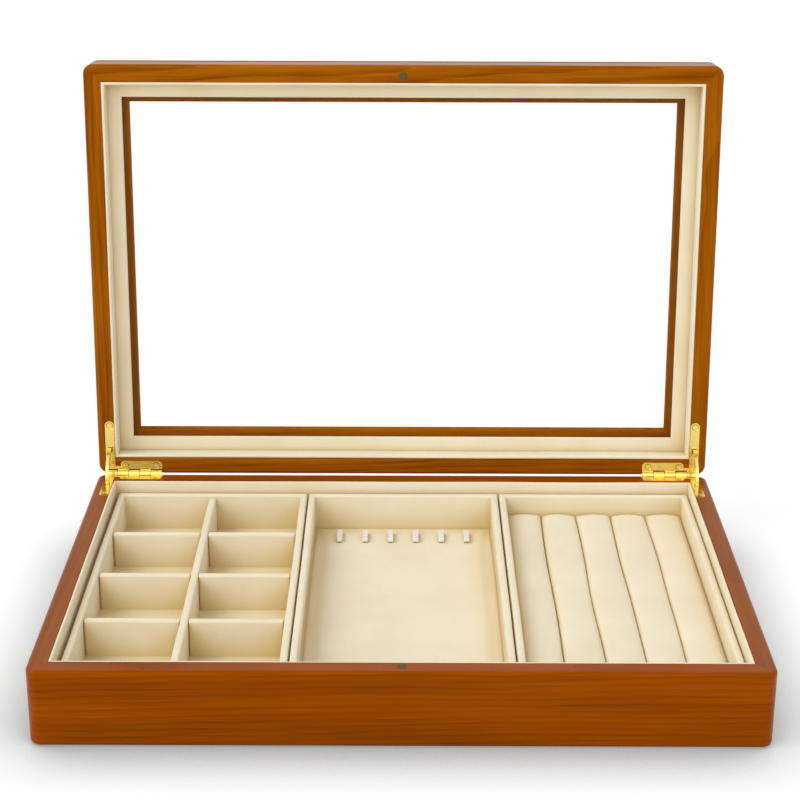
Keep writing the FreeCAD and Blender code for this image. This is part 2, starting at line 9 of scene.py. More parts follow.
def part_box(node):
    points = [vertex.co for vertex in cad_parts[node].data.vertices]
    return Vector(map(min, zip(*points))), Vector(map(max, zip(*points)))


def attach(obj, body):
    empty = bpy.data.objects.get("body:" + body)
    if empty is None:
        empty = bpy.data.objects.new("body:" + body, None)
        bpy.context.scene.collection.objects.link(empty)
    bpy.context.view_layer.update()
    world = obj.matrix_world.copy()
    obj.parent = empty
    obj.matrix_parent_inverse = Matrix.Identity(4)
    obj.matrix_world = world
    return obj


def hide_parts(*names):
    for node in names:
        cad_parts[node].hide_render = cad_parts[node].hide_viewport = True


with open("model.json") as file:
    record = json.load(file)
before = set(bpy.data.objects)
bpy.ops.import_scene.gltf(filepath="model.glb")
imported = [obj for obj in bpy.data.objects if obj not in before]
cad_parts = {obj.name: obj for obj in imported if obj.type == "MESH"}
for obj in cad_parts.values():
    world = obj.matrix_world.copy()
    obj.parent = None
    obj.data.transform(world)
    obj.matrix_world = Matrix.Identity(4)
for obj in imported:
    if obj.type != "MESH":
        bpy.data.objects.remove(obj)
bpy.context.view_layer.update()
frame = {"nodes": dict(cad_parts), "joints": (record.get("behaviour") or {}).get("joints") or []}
nodes = frame["nodes"]

MM = 0.001
SIDES = ("front", "back", "left", "right")
TRAYS = ("compartment_tray", "necklace_tray", "ring_tray")
CLOTH_SEED = 7
noise.seed_set(CLOTH_SEED)  # the cloth is uneven in the same way on every run

# The lid is worked shut, where its boards lie square, and is then turned up on the hinge pins.
lid_hinge = next(j for j in frame["joints"] if j["name"] == "lid_hinge")
pin_line = Matrix.Translation(Vector(lid_hinge["pos_m"]))
closing_angle = math.radians(lid_hinge["range_deg"][0])
closing_turn = Matrix.Rotation(closing_angle, 4, Vector(lid_hinge["axis"]))
shut_from_open = pin_line @ closing_turn @ pin_line.inverted()
open_from_shut = shut_from_open.inverted()


def shut_box(*names):
    """Lowest and highest corner of lid pieces, measured with the lid shut."""
    corners = [shut_from_open @ v.co for n in names for v in nodes[n].data.vertices]
    low = Vector(min(c[i] for c in corners) for i in range(3))
    high = Vector(max(c[i] for c in corners) for i in range(3))
    return low, high


def room_of(*names):
    """Lowest and highest corner of several base or tray pieces together."""
    boxes = [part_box(n) for n in names]
    low = Vector(min(b[0][i] for b in boxes) for i in range(3))
    high = Vector(max(b[1][i] for b in boxes) for i in range(3))
    return low, high


# Finishes

# A colour Mix node has several sockets of one name, so they are told apart by number.
MIX_SHARE, MIX_FIRST, MIX_SECOND, MIXED = 0, 6, 7, 2
# Nearly all of a noise texture lies between these values.
NOISE_LOW, NOISE_HIGH = 0.3, 0.7
WHITE = "#FFFFFF"


def linear(hex_colour):
    """A written sRGB colour as linear red, green, blue and alpha."""
    parts = [int(hex_colour[i:i + 2], 16) / 255 for i in (1, 3, 5)]
    lit = [c / 12.92 if c <= 0.04045 else ((c + 0.055) / 1.055) ** 2.4 for c in parts]
    return (*lit, 1.0)


def add(finish, kind, inputs=None, **settings):
    """One node with its settings; an input is a value or another node's output."""
    tree = finish.node_tree
    made = tree.nodes.new(kind)
    for name, value in settings.items():
        setattr(made, name, value)
    for key, value in (inputs or {}).items():
        if isinstance(value, bpy.types.NodeSocket):
            tree.links.new(value, made.inputs[key])
        else:
            made.inputs[key].default_value = value
    return made


def new_finish(name):
    """An empty node material and its surface shader."""
    finish = bpy.data.materials.new(name)
    finish.use_nodes = True
    return finish, finish.node_tree.nodes["Principled BSDF"]


def join(finish, output, shader, socket):
    finish.node_tree.links.new(output, shader.inputs[socket])


def per_mm(length):
    """Texture scale at which a pattern repeats about every so many millimetres."""
    return 1000.0 / length


def mottle(finish, shader, pattern, first, second, smooth, rough):
    """Carry a surface from one colour to another, and from smooth to rough, by a noise pattern."""
    tone = add(finish, "ShaderNodeMix",
               {MIX_SHARE: pattern, MIX_FIRST: linear(first), MIX_SECOND: linear(second)},
               data_type="RGBA")
    join(finish, tone.outputs[MIXED], shader, "Base Color")
    gloss = add(finish, "ShaderNodeMapRange",
                {"Value": pattern, "From Min": NOISE_LOW, "From Max": NOISE_HIGH,
                 "To Min": smooth, "To Max": rough})
    join(finish, gloss.outputs[0], shader, "Roughness")


def stained_pine(name, turn, heart, light, dark, lacquer):
    """Pine with a warm brown stain under satin lacquer: growth rings show as darker streaks along
    the board, fine fibre lines run between them, and the lacquer gives a broad soft gloss.
    turn brings the board's length to X, and heart is where the tree's centre lay, from the origin.
    lacquer is its shine, as a specular level."""
    finish, shader = new_finish(name)
    here = add(finish, "ShaderNodeTexCoord").outputs["Object"]
    board = add(finish, "ShaderNodeMapping", {"Vector": here, "Rotation": turn, "Location": heart})
    board = board.outputs["Vector"]
    # The trunk is never quite straight: rings wander by a few millimetres along the board.
    slow = add(finish, "ShaderNodeVectorMath",
               {0: board, 1: (per_mm(160), per_mm(34), per_mm(34))}, operation="MULTIPLY")
    wander = add(finish, "ShaderNodeTexNoise",
                 {"Vector": slow.outputs[0], "Scale": 1.0, "Detail": 3.0})
    drift = add(finish, "ShaderNodeVectorMath",
                {0: wander.outputs["Color"], 1: (0.0, 0.009, 0.009), 2: board},
                operation="MULTIPLY_ADD")
    # Rings about 3.2 mm apart; the wave texture repeats every 2 pi / 20 of its scaled radius.
    rings = add(finish, "ShaderNodeTexWave",
                {"Vector": drift.outputs[0], "Scale": 2 * math.pi / 20 * per_mm(3.2),
                 "Distortion": 0.8, "Detail": 2.0, "Detail Scale": 0.35},
                wave_type="RINGS", rings_direction="X", wave_profile="SAW")
    late = add(finish, "ShaderNodeMapRange",
               {"Value": rings.outputs["Fac"], "From Min": 0.35, "From Max": 1.0,
                "To Min": 0.0, "To Max": 1.0}, interpolation_type="SMOOTHSTEP")
    # Fibre lines are finer than a picture point, so they are drawn 0.9 mm wide.
    fine = add(finish, "ShaderNodeVectorMath",
               {0: board, 1: (per_mm(70), per_mm(0.9), per_mm(0.9))}, operation="MULTIPLY")
    fibre = add(finish, "ShaderNodeTexNoise",
                {"Vector": fine.outputs[0], "Scale": 1.0, "Detail": 4.0, "Roughness": 0.6})
    # Stain lies unevenly too, in streaks about 10 mm wide.
    broad = add(finish, "ShaderNodeVectorMath",
                {0: board, 1: (per_mm(150), per_mm(10), per_mm(10))}, operation="MULTIPLY")
    patch = add(finish, "ShaderNodeTexNoise",
                {"Vector": broad.outputs[0], "Scale": 1.0, "Detail": 2.0})
    # The stain takes deeper in late wood and in open fibre.
    depth = add(finish, "ShaderNodeMath", {0: late.outputs[0], 1: 0.19, 2: -0.31},
                operation="MULTIPLY_ADD")
    depth = add(finish, "ShaderNodeMath", {0: fibre.outputs["Fac"], 1: 0.75, 2: depth.outputs[0]},
                operation="MULTIPLY_ADD")
    depth = add(finish, "ShaderNodeMath", {0: patch.outputs["Fac"], 1: 0.9, 2: depth.outputs[0]},
                operation="MULTIPLY_ADD")
    take = add(finish, "ShaderNodeMapRange",
               {"Value": depth.outputs[0], "From Min": 0.15, "From Max": 0.95,
                "To Min": 0.0, "To Max": 1.0})
    colour = add(finish, "ShaderNodeMix",
                 {MIX_SHARE: take.outputs[0], MIX_FIRST: linear(light), MIX_SECOND: linear(dark)},
                 data_type="RGBA")
    join(finish, colour.outputs[MIXED], shader, "Base Color")
    gloss = add(finish, "ShaderNodeMapRange",
                {"Value": fibre.outputs["Fac"], "From Min": NOISE_LOW, "From Max": NOISE_HIGH,
                 "To Min": 0.28, "To Max": 0.36})
    join(finish, gloss.outputs[0], shader, "Roughness")
    relief = add(finish, "ShaderNodeBump",
                 {"Height": depth.outputs[0], "Strength": 0.12, "Distance": 0.2 * MM})
    join(finish, relief.outputs[0], shader, "Normal")
    shader.inputs["Specular IOR Level"].default_value = lacquer
    shader.inputs["Specular Tint"].default_value = linear("#FF8A20")
    return finish


def cream_microfibre():
    """Knitted polyester microfibre with a short brushed nap: matt, pale at its edges where the nap
    stands up to the light, with faint brushed patches and a soft pebbled touch. Where the cloth is
    enclosed, in cells and corners, its colour is darkened to a deeper honey tone as painted shade."""
    finish, shader = new_finish("cream_microfibre")
    here = add(finish, "ShaderNodeTexCoord").outputs["Object"]
    # Single fibres are far too fine to show, so the nap is drawn as tufts 0.7 mm across.
    nap = add(finish, "ShaderNodeTexNoise",
              {"Vector": here, "Scale": per_mm(0.7), "Detail": 3.0, "Roughness": 0.7})
    brushed = add(finish, "ShaderNodeTexNoise",
                  {"Vector": here, "Scale": per_mm(28), "Detail": 3.0})
    tone = add(finish, "ShaderNodeMath", {0: nap.outputs["Fac"], 1: 0.45}, operation="MULTIPLY")
    tone = add(finish, "ShaderNodeMath", {0: brushed.outputs["Fac"], 1: 0.55, 2: tone.outputs[0]},
               operation="MULTIPLY_ADD")
    shade = add(finish, "ShaderNodeMapRange",
                {"Value": tone.outputs[0], "From Min": NOISE_LOW, "From Max": NOISE_HIGH,
                 "To Min": 0.0, "To Max": 1.0})
    open_cloth = add(finish, "ShaderNodeMix",
                     {MIX_SHARE: shade.outputs[0], MIX_FIRST: linear("#E7DABA"),
                      MIX_SECOND: linear("#F2E8D0")}, data_type="RGBA")
    # Painted shade: where the cloth is enclosed, in cells and corners, its colour is darkened
    # towards a deeper honey tone.
    reach = add(finish, "ShaderNodeAmbientOcclusion", {"Distance": 30 * MM}, samples=6)
    depth = add(finish, "ShaderNodeMapRange",
                {"Value": reach.outputs["AO"], "From Min": 0.26, "From Max": 0.72,
                 "To Min": 1.0, "To Max": 0.0})
    colour = add(finish, "ShaderNodeMix",
                 {MIX_SHARE: depth.outputs[0], MIX_FIRST: open_cloth.outputs[MIXED],
                  MIX_SECOND: linear("#D9C28A")}, data_type="RGBA")
    join(finish, colour.outputs[MIXED], shader, "Base Color")
    relief = add(finish, "ShaderNodeBump",
                 {"Height": nap.outputs["Fac"], "Strength": 0.22, "Distance": 0.3 * MM})
    join(finish, relief.outputs[0], shader, "Normal")
    shader.inputs["Roughness"].default_value = 0.92
    shader.inputs["Specular IOR Level"].default_value = 0.2
    shader.inputs["Sheen Weight"].default_value = 0.45
    shader.inputs["Sheen Roughness"].default_value = 0.35
    shader.inputs["Sheen Tint"].default_value = linear("#FFF9EE")
    return finish


def polished_brass():
    """Stamped sheet brass, polished and lacquered: warm yellow with faint rubbing marks that
    spread the reflections a little along the leaf."""
    finish, shader = new_finish("polished_brass")
    here = add(finish, "ShaderNodeTexCoord").outputs["Object"]
    rubbed = add(finish, "ShaderNodeVectorMath",
                 {0: here, 1: (per_mm(6), per_mm(0.8), per_mm(0.8))}, operation="MULTIPLY")
    marks = add(finish, "ShaderNodeTexNoise",
                {"Vector": rubbed.outputs[0], "Scale": 1.0, "Detail": 4.0})
    mottle(finish, shader, marks.outputs["Fac"], "#F0D060", "#F8E48C", 0.16, 0.3)
    relief = add(finish, "ShaderNodeBump",
                 {"Height": marks.outputs["Fac"], "Strength": 0.1, "Distance": 0.1 * MM})
    join(finish, relief.outputs[0], shader, "Normal")
    shader.inputs["Metallic"].default_value = 1.0
    return finish


def dull_plating():
    """Plated magnet, dulled by handling: a dark yellowish metal with soft blotches."""
    finish, shader = new_finish("dull_plated_magnet")
    here = add(finish, "ShaderNodeTexCoord").outputs["Object"]
    blotch = add(finish, "ShaderNodeTexNoise",
                 {"Vector": here, "Scale": per_mm(1.6), "Detail": 3.0})
    mottle(finish, shader, blotch.outputs["Fac"], "#4A3A1C", "#76603A", 0.3, 0.5)
    shader.inputs["Metallic"].default_value = 1.0
    return finish


def float_glass():
    """Clear float glass, 3 mm, with a bloomed face that mirrors little: flat and colourless, with
    a trace of the faint waviness of its making."""
    finish, shader = new_finish("clear_float_glass")
    here = add(finish, "ShaderNodeTexCoord").outputs["Object"]
    wave = add(finish, "ShaderNodeTexNoise", {"Vector": here, "Scale": per_mm(90), "Detail": 0.0})
    relief = add(finish, "ShaderNodeBump",
                 {"Height": wave.outputs["Fac"], "Strength": 0.02, "Distance": 0.5 * MM})
    join(finish, relief.outputs[0], shader, "Normal")
    shader.inputs["Base Color"].default_value = linear(WHITE)
    shader.inputs["Transmission Weight"].default_value = 1.0
    shader.inputs["Roughness"].default_value = 0.0
    shader.inputs["IOR"].default_value = 1.2
    return finish


def milky_polythene():
    """Thin folded polythene strip: cloudy white, with a waxy gloss."""
    finish, shader = new_finish("milky_polythene")
    here = add(finish, "ShaderNodeTexCoord").outputs["Object"]
    cloud = add(finish, "ShaderNodeTexNoise", {"Vector": here, "Scale": per_mm(5), "Detail": 2.0})
    mottle(finish, shader, cloud.outputs["Fac"], "#E6DED6", "#ECE6E0", 0.42, 0.5)
    shader.inputs["IOR"].default_value = 1.51
    return finish


# Grain runs along each board: across the box on the long ones, front to back on the short ones.
lengthwise = Matrix.Rotation(math.radians(-90), 4, "Z")
lid_lengthwise = lengthwise @ closing_turn
slant = Matrix.Rotation(math.radians(1.2), 4, "Z") @ Matrix.Rotation(math.radians(1.0), 4, "Y")
across_box = slant.to_euler()
along_base = (slant @ lengthwise).to_euler()
along_lid = (slant @ lid_lengthwise).to_euler()
LID_LONG_HEART, LID_SHORT_HEART = (0.55, 0.06, -0.40), (0.2, 0.19, 0.05)
WINDOW_LIGHT, WINDOW_DARK = "#AA6000", "#804200"
BASE_LACQUER, LID_LACQUER, BOTTOM_LACQUER, MATT = 0.18, 0.2, 0.15, 0.0

base_long_wood = stained_pine("stained_pine_base_long", across_box, (0.31, 0.105, 0.085),
                              "#A04E00", "#7A3600", BASE_LACQUER)
base_short_wood = stained_pine("stained_pine_base_short", along_base, (0.9, 0.17, 0.10),
                               "#9A5000", "#763A00", BASE_LACQUER)
lid_long_wood = stained_pine("stained_pine_lid_long", across_box, LID_LONG_HEART,
                             "#B4680A", "#6A2E00", LID_LACQUER)
lid_short_wood = stained_pine("stained_pine_lid_short", along_lid, LID_SHORT_HEART,
                              "#B0650A", "#672D00", LID_LACQUER)
# The window frame shows its edges at a slant, where thin matt lacquer lets the stain be seen.
rail_long_wood = stained_pine("stained_pine_window_long", across_box, LID_LONG_HEART,
                              WINDOW_LIGHT, WINDOW_DARK, MATT)
rail_short_wood = stained_pine("stained_pine_window_short", along_lid, LID_SHORT_HEART,
                               WINDOW_LIGHT, WINDOW_DARK, MATT)
board_wood = stained_pine("stained_veneer_bottom", across_box, (0.1, 0.0, 0.05),
                          "#9A5520", "#744018", BOTTOM_LACQUER)
microfibre = cream_microfibre()
brass = polished_brass()
plating = dull_plating()
glass = float_glass()
polythene = milky_polythene()

finish_of = {"base_bottom_panel": board_wood, "lid_glass": glass, "necklace_hooks": polythene}
for side in ("front", "back"):
    finish_of["base_%s_wall" % side] = base_long_wood
    finish_of["lid_%s_wall" % side] = lid_long_wood
    finish_of["lid_top_%s_rail" % side] = rail_long_wood
for side in ("left", "right"):
    finish_of["base_%s_wall" % side] = base_short_wood
    finish_of["lid_%s_wall" % side] = lid_short_wood
    finish_of["lid_top_%s_rail" % side] = rail_short_wood

for name, cad_piece in nodes.items():
    if name.startswith("hinge_"):
        finish = brass
    elif name.endswith("_magnet"):
        finish = plating
    else:
        finish = finish_of.get(name, microfibre)
    cad_piece.data.materials.clear()
    cad_piece.data.materials.append(finish)

# Light falls through the clear pane on the window's edges behind it.
nodes["lid_glass"].visible_shadow = False


# Lining and trays

NEAR = 0.1 * MM  # points closer than this count as being in one place
LINING_RIM, FRAME_RIM, TRAY_RIM = 0.7 * MM, 0.8 * MM, 1.2 * MM  # how round cloth lies on edges
DIVIDER_RIM, FLOOR_RIM = 1.1 * MM, 1.8 * MM
CLOTH_STEP, DIVIDER_STEP, FLOOR_STEP = 9 * MM, 8 * MM, 14 * MM  # how finely covers are cut
SHARP_ANGLE = math.radians(42)


def block(shape, low, high):
    """A plain block between two corners; gives its faces."""
    corners = bmesh.ops.create_cube(shape, size=1)["verts"]
    bmesh.ops.scale(shape, vec=high - low, verts=corners)
    bmesh.ops.translate(shape, vec=(low + high) / 2, verts=corners)
    return list(dict.fromkeys(f for v in corners for f in v.link_faces))


def soften(shape, edges, radius, steps=3):
    """Round edges over, as cloth does when it is drawn round a board."""
    bmesh.ops.bevel(shape, geom=edges, offset=radius, offset_type="OFFSET", segments=steps,
                    profile=0.5, affect="EDGES", material=-1)


def along(edge, axis):
    """True for an edge that runs along that axis."""
    run = edge.verts[1].co - edge.verts[0].co
    return abs(run[axis]) > 0.999 * run.length


def at_height(edge, z):
    """True for a level edge at that height."""
    return all(abs(v.co.z - z) < NEAR / 2 for v in edge.verts)


def cut_up(shape, step):
    """Cut long faces across X and Y, so that cloth on them can be a little uneven."""
    for axis, across in enumerate((Vector((1, 0, 0)), Vector((0, 1, 0)))):
        low = min(v.co[axis] for v in shape.verts)
        high = max(v.co[axis] for v in shape.verts)
        count = max(1, round((high - low) / step))
        for i in range(1, count):
            place = across * (low + (high - low) * i / count)
            everything = shape.verts[:] + shape.edges[:] + shape.faces[:]
            bmesh.ops.bisect_plane(shape, geom=everything, dist=1e-7,
                                   plane_co=place, plane_no=across)


def wrap_unevenly(shape, depth, spread, floor):
    """Hand-glued cloth is never dead flat: shift each point a little, more the higher it stands."""
    top = max(v.co.z for v in shape.verts)
    for v in shape.verts:
        share = min(1.0, (v.co.z - floor) / max(top - floor, MM))
        push = noise.noise_vector(v.co / spread) * depth * share
        v.co.x += push.x
        v.co.y += push.y
        v.co.z += 0.4 * push.z


def cloth_piece(name, shape, body, stands_for, turn=None):
    """Make a cloth cover of the finished shape, on its body, in place of its CAD nodes."""
    bmesh.ops.recalc_face_normals(shape, faces=shape.faces[:])
    mesh = bpy.data.meshes.new(name)
    shape.to_mesh(mesh)
    shape.free()
    if turn is not None:
        mesh.transform(turn)
    mesh.shade_smooth()
    mesh.set_sharp_from_angle(angle=SHARP_ANGLE)
    mesh.materials.append(microfibre)
    piece = bpy.data.objects.new(name, mesh)
    bpy.context.scene.collection.objects.link(piece)
    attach(piece, body)
    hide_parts(*stands_for)
    return piece


def open_frame(low, high, width):
    """A block cut through from top to bottom, which leaves a frame of that width."""
    shape = bmesh.new()
    ends = [f for f in block(shape, low, high) if abs(f.normal.z) > 0.9]
    for face in ends:
        bmesh.ops.inset_region(shape, faces=[face], thickness=width, use_even_offset=True)
        bmesh.ops.delete(shape, geom=[face], context="FACES_ONLY")
    bmesh.ops.bridge_loops(shape, edges=[e for e in shape.edges if e.is_boundary])
    bmesh.ops.recalc_face_normals(shape, faces=shape.faces[:])
    return shape


def lining_band(low, high, thick):
    """A band of lining round the inside of a frame, mitred at the corners, with rolled rims."""
    shape = open_frame(low, high, thick)
    rims = [e for e in shape.edges if sum(abs(f.normal.z) > 0.9 for f in e.link_faces) == 1]
    soften(shape, rims, LINING_RIM)
    cut_up(shape, CLOTH_STEP)
    return shape


def fabric_tray(low, high, wall, floor_top):
    """A covered tray: outer box, hollow let down to the floor, rims and outer corners rolled."""
    shape = bmesh.new()
    top = max(block(shape, low, high), key=lambda f: f.calc_center_median().z)
    bmesh.ops.inset_region(shape, faces=[top], thickness=wall, use_even_offset=True)
    sunk = bmesh.ops.extrude_face_region(shape, geom=[top])["geom"]
    hollow = [v for v in sunk if isinstance(v, bmesh.types.BMVert)]
    bmesh.ops.translate(shape, vec=(0, 0, floor_top - high.z), verts=hollow)
    bmesh.ops.delete(shape, geom=[top], context="FACES_ONLY")
    upright = [e for e in shape.edges if along(e, 2)
               and min(abs(e.verts[0].co.x - low.x), abs(e.verts[0].co.x - high.x)) < NEAR]
    rims = [e for e in shape.edges if at_height(e, high.z)
            and any(abs(f.normal.z) < 0.5 for f in e.link_faces)]
    soften(shape, upright + rims, TRAY_RIM)
    cut_up(shape, CLOTH_STEP)
    return shape


# Base lining
base_liners = ["base_%s_liner" % side for side in SIDES]
low, high = room_of(*base_liners)
one_low, one_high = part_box("base_left_liner")
shape = lining_band(low, high, one_high.x - one_low.x)
wrap_unevenly(shape, 0.25 * MM, 45 * MM, low.z)
cloth_piece("base_lining", shape, "base", base_liners)

# Padded floor under the trays
low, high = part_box("base_floor_liner")
shape = bmesh.new()
block(shape, low, high)
soften(shape, [e for e in shape.edges if not at_height(e, low.z)], FLOOR_RIM, 4)
cut_up(shape, FLOOR_STEP)
floor_pad = cloth_piece("base_floor_pad", shape, "base", ["base_floor_liner"])

# Lid lining; a dark seam is left where it meets the frame that holds the pane
SEAM_AT_PANE = 0.5 * MM
lid_liners = ["lid_%s_liner" % side for side in SIDES]
low, high = shut_box(*lid_liners)
high.z -= SEAM_AT_PANE
one_low, one_high = shut_box("lid_left_liner")
shape = lining_band(low, high, one_high.x - one_low.x)
wrap_unevenly(shape, 0.2 * MM, 45 * MM, high.z - 30 * MM)
cloth_piece("lid_lining", shape, "lid", lid_liners, open_from_shut)

# Frame of covered board that holds the pane
low, high = shut_box("lid_glass_retainer")
opening = min(abs(v.co.x) for v in nodes["lid_glass_retainer"].data.vertices)
shape = open_frame(low, high, high.x - opening)
inner = [e for e in shape.edges if not along(e, 2)
         and max(abs(v.co.x) for v in e.verts) < opening + NEAR
         and any(abs(f.normal.z) < 0.1 for f in e.link_faces)]
soften(shape, inner, FRAME_RIM)
cut_up(shape, CLOTH_STEP)
cloth_piece("lid_retainer_cover", shape, "lid", ["lid_glass_retainer"], open_from_shut)

# Trays
FOOT_LEAN = 1.4 * MM


def foot_lean(y, low, high):
    """How far the wadding pushes out the foot of a necklace tray's side wall; the corners hold."""
    return FOOT_LEAN * (1 - abs((2 * y - low.y - high.y) / (high.y - low.y)) ** 4)


for tray in TRAYS:
    floor = "%s_floor" % tray
    walls = ["%s_%s_wall" % (tray, side) for side in SIDES]
    low, high = room_of(floor, *walls)
    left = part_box("%s_left_wall" % tray)
    wall, floor_top = left[1].x - left[0].x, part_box(floor)[1].z
    shape = fabric_tray(low, high, wall, floor_top)
    if tray == "necklace_tray":
        for v in shape.verts:
            for side, inner in ((-1, low.x + wall), (1, high.x - wall)):
                if abs(v.co.x - inner) < 2 * NEAR and abs(v.co.z - floor_top) < 2 * NEAR:
                    v.co.x += side * foot_lean(v.co.y, low, high)
    wrap_unevenly(shape, 0.3 * MM, 55 * MM, low.z + 3 * MM)
    cloth_piece("%s_cover" % tray, shape, tray, [floor, *walls])


# Divider grid: one long board, and cross boards whose covers stop against it on either side.
def covered_board(shape, low, high):
    """A thin board covered in cloth: top and upright edges rolled, foot square."""
    edges = dict.fromkeys(e for f in block(shape, low, high) for e in f.edges)
    soften(shape, [e for e in edges if not at_height(e, low.z)], DIVIDER_RIM)


def finish_divider(name, shape, node):
    cut_up(shape, DIVIDER_STEP)
    wrap_unevenly(shape, 0.3 * MM, 40 * MM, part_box(node)[0].z)
    cloth_piece(name, shape, "divider_grid", [node])


long_low, long_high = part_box("divider_grid_long")
shape = bmesh.new()
covered_board(shape, long_low, long_high)
finish_divider("divider_long_cover", shape, "divider_grid_long")

SEAM_AT_CROSSING = 0.15 * MM
BAY = 10 * MM  # a wider space than this parts two cross boards
cross_low, cross_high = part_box("divider_grid_cross")
depths = sorted(v.co.y for v in nodes["divider_grid_cross"].data.vertices)
bays = [i for i in range(1, len(depths)) if depths[i] - depths[i - 1] > BAY]
near_faces = [depths[0]] + [depths[i] for i in bays]
far_faces = [depths[i - 1] for i in bays] + [depths[-1]]
cross_runs = ((cross_low.x, long_low.x - SEAM_AT_CROSSING),
              (long_high.x + SEAM_AT_CROSSING, cross_high.x))
shape = bmesh.new()
for near, far in zip(near_faces, far_faces):
    for start, stop in cross_runs:
        covered_board(shape, Vector((start, near, cross_low.z)),
                      Vector((stop, far, cross_high.z)))
finish_divider("divider_cross_cover", shape, "divider_grid_cross")


# Padded pieces, blown out by their filling

# The cloth solver suits cushions of ordinary size, so these small ones are worked enlarged.
SOLVER_SCALE = 20.0
SETTLING_STEPS = 20
GLUE_HEIGHT = 0.3 * MM


def fill_out(shape, voxel, pressure, most):
    """Even out a cover's cloth, glue its underside down, swell it with its filling and give back
    the settled shape. No point moves further than most."""
    middle = sum((v.co for v in shape.verts), Vector()) / len(shape.verts)
    cut = bpy.data.meshes.new("cover_cut")
    shape.to_mesh(cut)
    shape.free()
    cover = bpy.data.objects.new("cover", cut)
    bpy.context.scene.collection.objects.link(cover)
    even = cover.modifiers.new("even_cloth", "REMESH")
    even.mode = "VOXEL"
    even.voxel_size = voxel
    evened = cover.evaluated_get(bpy.context.evaluated_depsgraph_get())
    cover.data = bpy.data.meshes.new_from_object(evened)
    cover.modifiers.clear()
    cover.data.transform(Matrix.Scale(SOLVER_SCALE, 4) @ Matrix.Translation(-middle))
    settled = bmesh.new()
    settled.from_mesh(cover.data)
    foot = min(v.co.z for v in cover.data.vertices)
    glued = cover.vertex_groups.new(name="glued_underside")
    glue_top = foot + GLUE_HEIGHT * SOLVER_SCALE
    glued.add([v.index for v in cover.data.vertices if v.co.z < glue_top], 1.0, "REPLACE")
    filling = cover.modifiers.new("filling", "CLOTH").settings
    filling.quality = 5
    filling.mass = 0.3
    filling.use_pressure = True
    filling.uniform_pressure_force = pressure
    filling.effector_weights.gravity = 0.0
    filling.vertex_group_mass = "glued_underside"
    for step in range(1, SETTLING_STEPS + 1):
        bpy.context.scene.frame_set(step)
    swollen = cover.evaluated_get(bpy.context.evaluated_depsgraph_get()).to_mesh()
    settled.verts.ensure_lookup_table()
    for v, after in zip(settled.verts, swollen.vertices):
        move = after.co - v.co
        if move.length > most * SOLVER_SCALE:
            move *= most * SOLVER_SCALE / move.length
        v.co += move
    bpy.context.scene.frame_set(1)
    bpy.data.objects.remove(cover)
    settled.transform(Matrix.Translation(middle) @ Matrix.Scale(1 / SOLVER_SCALE, 4))
    return settled


def finish_pad(name, shape, body, node):
    """A filled cover with one round of smoothing."""
    piece = cloth_piece(name, shape, body, [node])
    rounder = piece.modifiers.new("rounder", "SUBSURF")
    rounder.levels = rounder.render_levels = 1


# Ring rolls lie side by side, so a groove that wanders bends the two rolls beside it alike.
ROLLS = 5
ROLL_ROOM_BELOW = Vector((0.05, 0.4, 0.05)) * MM  # room that the filling takes up when it swells
ROLL_ROOM_ABOVE = Vector((0.05, 0.4, 0.3)) * MM
ROLL_SHOULDER = 1.3 * MM
ROLL_CROWN = 1.6 * MM
ROLL_CUTS = 11
SIDE_SWELL = 1.05
SIDE_PRESS = 0.12 * MM  # how far a roll is pressed into its neighbours
GROOVE_DRIFT, GROOVE_WAVE = 1.1 * MM, 75 * MM


def groove_sway(index, y):
    """Sideways drift of a groove; the outer ones lie straight against the tray walls."""
    if index in (0, ROLLS):
        return 0.0
    # Each groove reads its own line of the noise.
    return GROOVE_DRIFT * noise.noise(Vector((y / GROOVE_WAVE, 3.7 * index, 1.3)))


for i in range(ROLLS):
    node = "ring_roll_%d" % (i + 1)
    low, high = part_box(node)
    start, stop = low + ROLL_ROOM_BELOW, high - ROLL_ROOM_ABOVE
    half, centre = (stop.x - start.x) / 2, (stop.x + start.x) / 2
    shape = bmesh.new()
    block(shape, start, stop)
    soften(shape, [e for e in shape.edges if at_height(e, stop.z)], ROLL_SHOULDER)
    bmesh.ops.subdivide_edges(shape, edges=[e for e in shape.edges if along(e, 0)],
                              cuts=ROLL_CUTS, use_grid_fill=True)
    for v in shape.verts:
        rise = (v.co.z - start.z) / (stop.z - start.z)
        v.co.z -= ROLL_CROWN * rise * ((v.co.x - centre) / half) ** 2
    shape = fill_out(shape, voxel=1.3 * MM, pressure=4.0, most=0.5 * MM)
    for v in shape.verts:
        # Each roll is pressed flat against its neighbours.
        spread = centre + SIDE_SWELL * (v.co.x - centre)
        v.co.x = min(max(spread, low.x - SIDE_PRESS), high.x + SIDE_PRESS)
        share = (v.co.x - low.x) / (high.x - low.x)
        v.co.x += (1 - share) * groove_sway(i, v.co.y) + share * groove_sway(i + 1, v.co.y)
        v.co.y = min(max(v.co.y, low.y), high.y)
        v.co.z = max(v.co.z, low.z)
    finish_pad("ring_roll_cushion_%d" % (i + 1), shape, "ring_tray", node)

# Necklace pad: thin wadding on a board, its edges drawn down
PAD_ROOM_BELOW = Vector((0.3, 0.3, 0.0)) * MM
PAD_ROOM_ABOVE = Vector((0.3, 0.3, 0.25)) * MM
PAD_SHOULDER = 0.6 * MM
PAD_REACH = 0.2 * MM  # the pad reaches a little under the foot of the wall cover
low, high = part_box("necklace_pad")
shape = bmesh.new()
block(shape, low + PAD_ROOM_BELOW, high - PAD_ROOM_ABOVE)
pad_top = [e for e in shape.edges if at_height(e, high.z - PAD_ROOM_ABOVE.z)]
soften(shape, pad_top, PAD_SHOULDER, 2)
shape = fill_out(shape, voxel=1.5 * MM, pressure=0.6, most=0.5 * MM)
middle, half = (low.x + high.x) / 2, (high.x - low.x) / 2
for v in shape.verts:
    v.co.x += (v.co.x - middle) / half * (foot_lean(v.co.y, low, high) + PAD_REACH)
    v.co.z = max(v.co.z, low.z)
